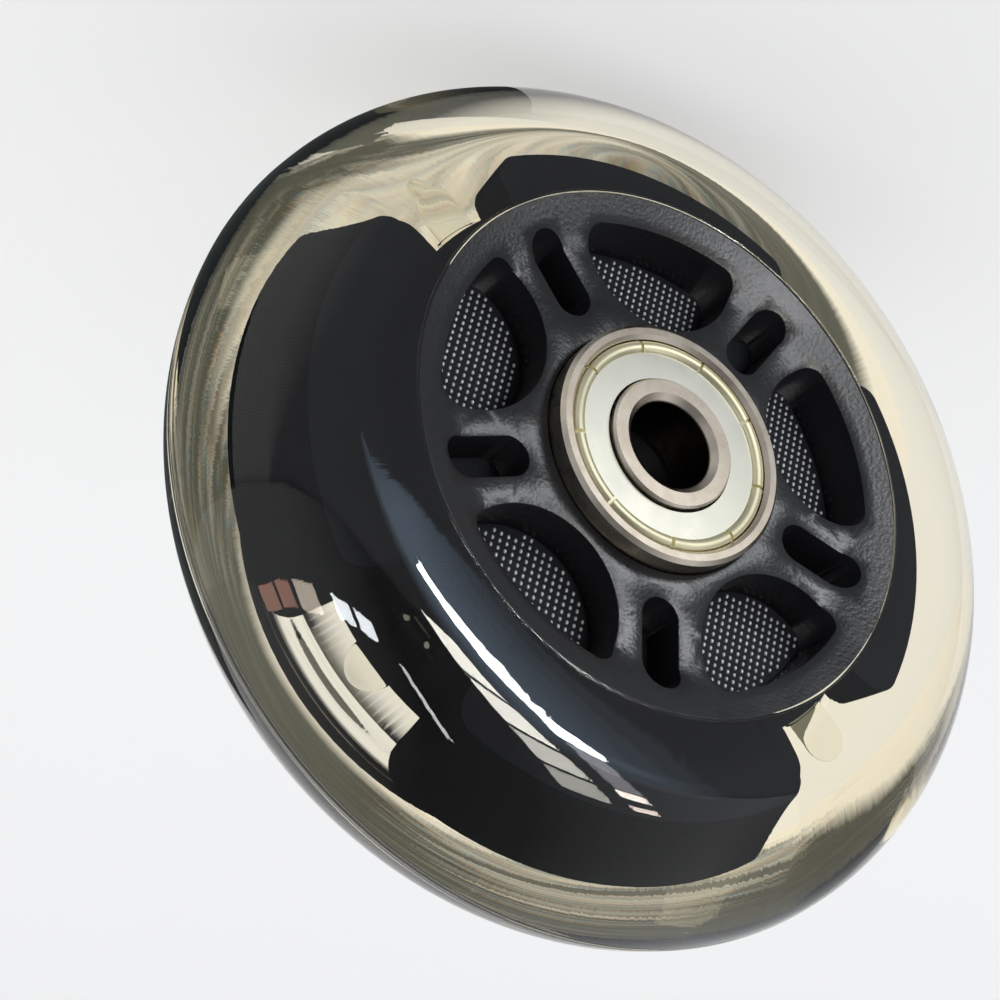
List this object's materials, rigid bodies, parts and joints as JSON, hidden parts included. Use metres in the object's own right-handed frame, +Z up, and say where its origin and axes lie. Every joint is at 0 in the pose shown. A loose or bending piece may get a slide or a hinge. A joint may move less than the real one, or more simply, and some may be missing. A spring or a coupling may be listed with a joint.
{
  "type": "light-up inline skate wheel",
  "caption": "Inline skate wheel: clear urethane tyre cast on a black windowed hub, ball bearings on a spacer, and a magnet and coil in the hub that light lamps in the rim.",
  "frame": {"origin": "centre of the wheel, on the axle's centre line halfway between the two bearings", "axes": "the wheel spins about +Y; the pictured face looks towards -Y; +Z is up, with a hub slot at the top"},
  "size_m": [0.08, 0.024, 0.08],
  "materials": {
    "clear_urethane": "clear cast urethane with a faint yellow tint, glossy",
    "black_nylon": "black moulded nylon, satin with a fine leather-like grain",
    "ring_steel": "ground bearing steel",
    "ball_steel": "polished bearing steel",
    "zinc_plate": "pressed sheet steel, zinc plated with a pale yellow cast",
    "natural_nylon": "natural moulded nylon",
    "ferrite": "sintered ferrite, dull",
    "copper_wire": "enamelled copper wire",
    "tinned_steel": "tinned pressed steel",
    "circuit_board": "green solder mask",
    "clear_epoxy": "water-clear cast epoxy"
  },
  "bodies": {
    "axle_core": {"axle_spacer": "black_nylon", "ring_magnet": "ferrite", "front_inner_ring": "ring_steel", "rear_inner_ring": "ring_steel"},
    "wheel": {"tyre": "clear_urethane", "hub_front": "black_nylon", "hub_rear": "black_nylon", "front_outer_ring": "ring_steel", "front_outer_shield": "zinc_plate", "front_inner_shield": "zinc_plate", "rear_outer_ring": "ring_steel", "rear_outer_shield": "zinc_plate", "rear_inner_shield": "zinc_plate", "pole_plate": "tinned_steel", "pole_cup": "tinned_steel", "coil_bobbin": "natural_nylon", "coil_winding": "copper_wire", "coil_leads": "copper_wire", "circuit_board": "circuit_board", "lamp_1": "clear_epoxy", "lamp_2": "clear_epoxy", "lamp_3": "clear_epoxy", "lamp_4": "clear_epoxy", "lamp_leads": "tinned_steel"},
    "front_ball_set": {"front_balls": "ball_steel", "front_cage": "natural_nylon"},
    "rear_ball_set": {"rear_balls": "ball_steel", "rear_cage": "natural_nylon"}
  },
  "joints": [
    {"name": "wheel_spin", "type": "hinge", "parent": "axle_core", "child": "wheel", "pos_m": [0, 0, 0], "axis": [0, 1, 0], "continuous": true},
    {"name": "front_cage_spin", "type": "hinge", "parent": "axle_core", "child": "front_ball_set", "pos_m": [0, -0.0085, 0], "axis": [0, 1, 0], "continuous": true},
    {"name": "rear_cage_spin", "type": "hinge", "parent": "axle_core", "child": "rear_ball_set", "pos_m": [0, 0.0085, 0], "axis": [0, 1, 0], "continuous": true}
  ],
  "couplings": [
    {"joint": "front_cage_spin", "follows": "wheel_spin", "ratio": 0.6323},
    {"joint": "rear_cage_spin", "follows": "wheel_spin", "ratio": 0.6323}
  ]
}
